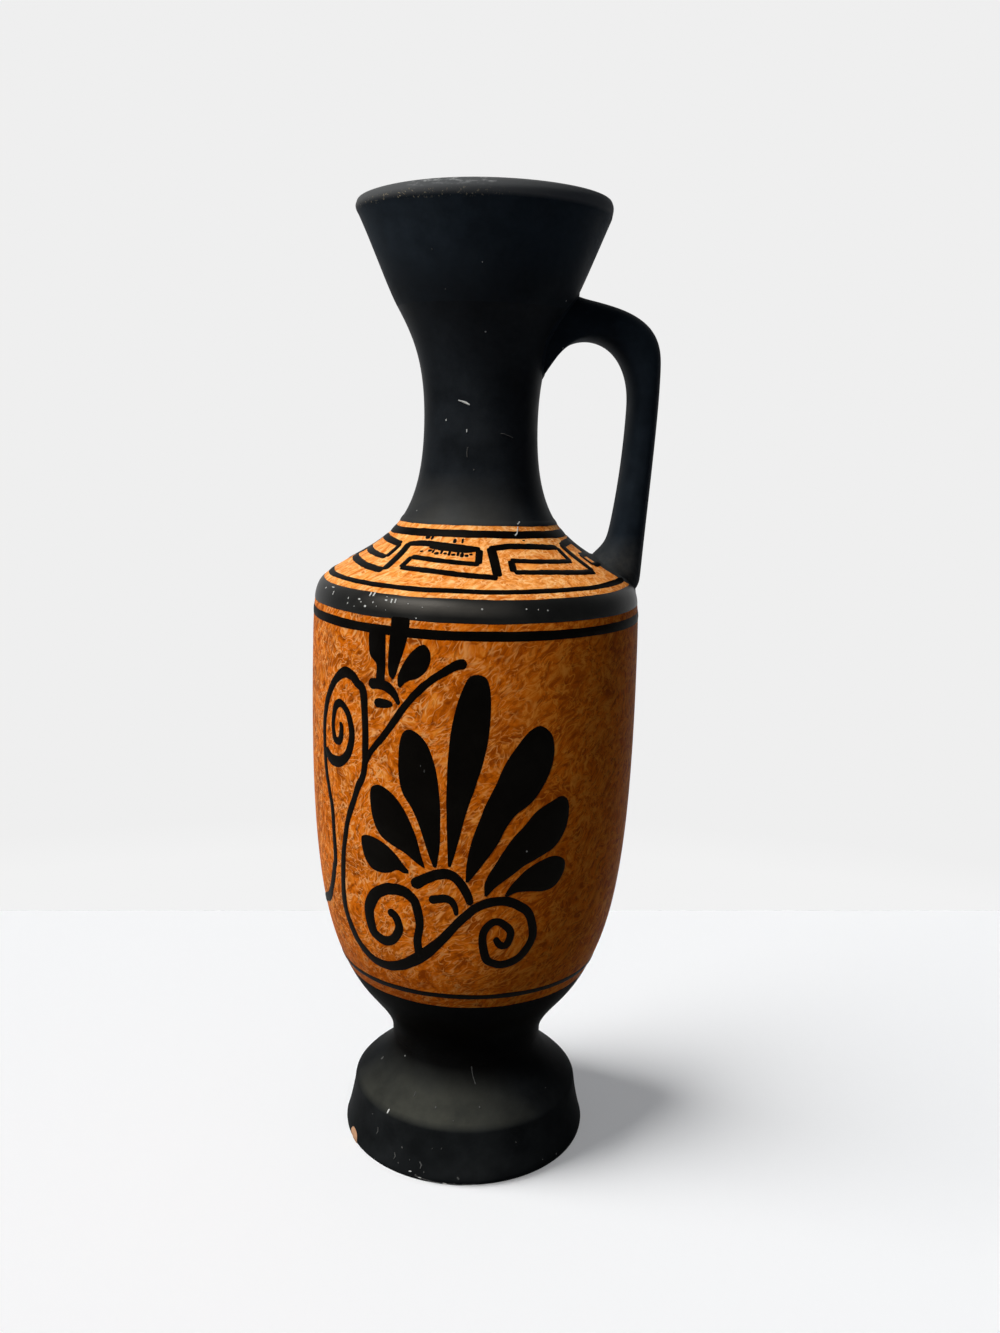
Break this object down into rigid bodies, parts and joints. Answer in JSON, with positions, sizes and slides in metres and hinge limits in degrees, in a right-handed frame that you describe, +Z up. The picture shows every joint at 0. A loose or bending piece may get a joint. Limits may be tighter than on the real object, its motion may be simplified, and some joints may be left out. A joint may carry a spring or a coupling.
{
  "type": "terracotta pitcher",
  "caption": "Slender painted clay pitcher with a funnel mouth, a narrow neck, a shouldered body, a strap handle and a pedestal foot.",
  "frame": {"origin": "centre of the flat underside of the foot, where the vessel's axis meets the surface it stands on", "axes": "+Z up along the vessel's axis, +X towards the handle, millimetres in the source and metres in the record"},
  "size_m": [0.0922, 0.0882, 0.255],
  "materials": {
    "dark_paint": "matte near-black paint, a little worn",
    "painted_ground": "brushed orange wash over clay, satin",
    "bare_clay": "bare fired terracotta, matte"
  },
  "bodies": {
    "root": {"foot": "dark_paint", "foot_slip": "bare_clay", "body": "painted_ground", "neck_slip": "bare_clay", "neck": "dark_paint", "mouth_slip": "bare_clay", "mouth": "dark_paint", "handle": "dark_paint", "handle_root_slip": "bare_clay", "handle_top_slip": "bare_clay"}
  },
  "joints": []
}
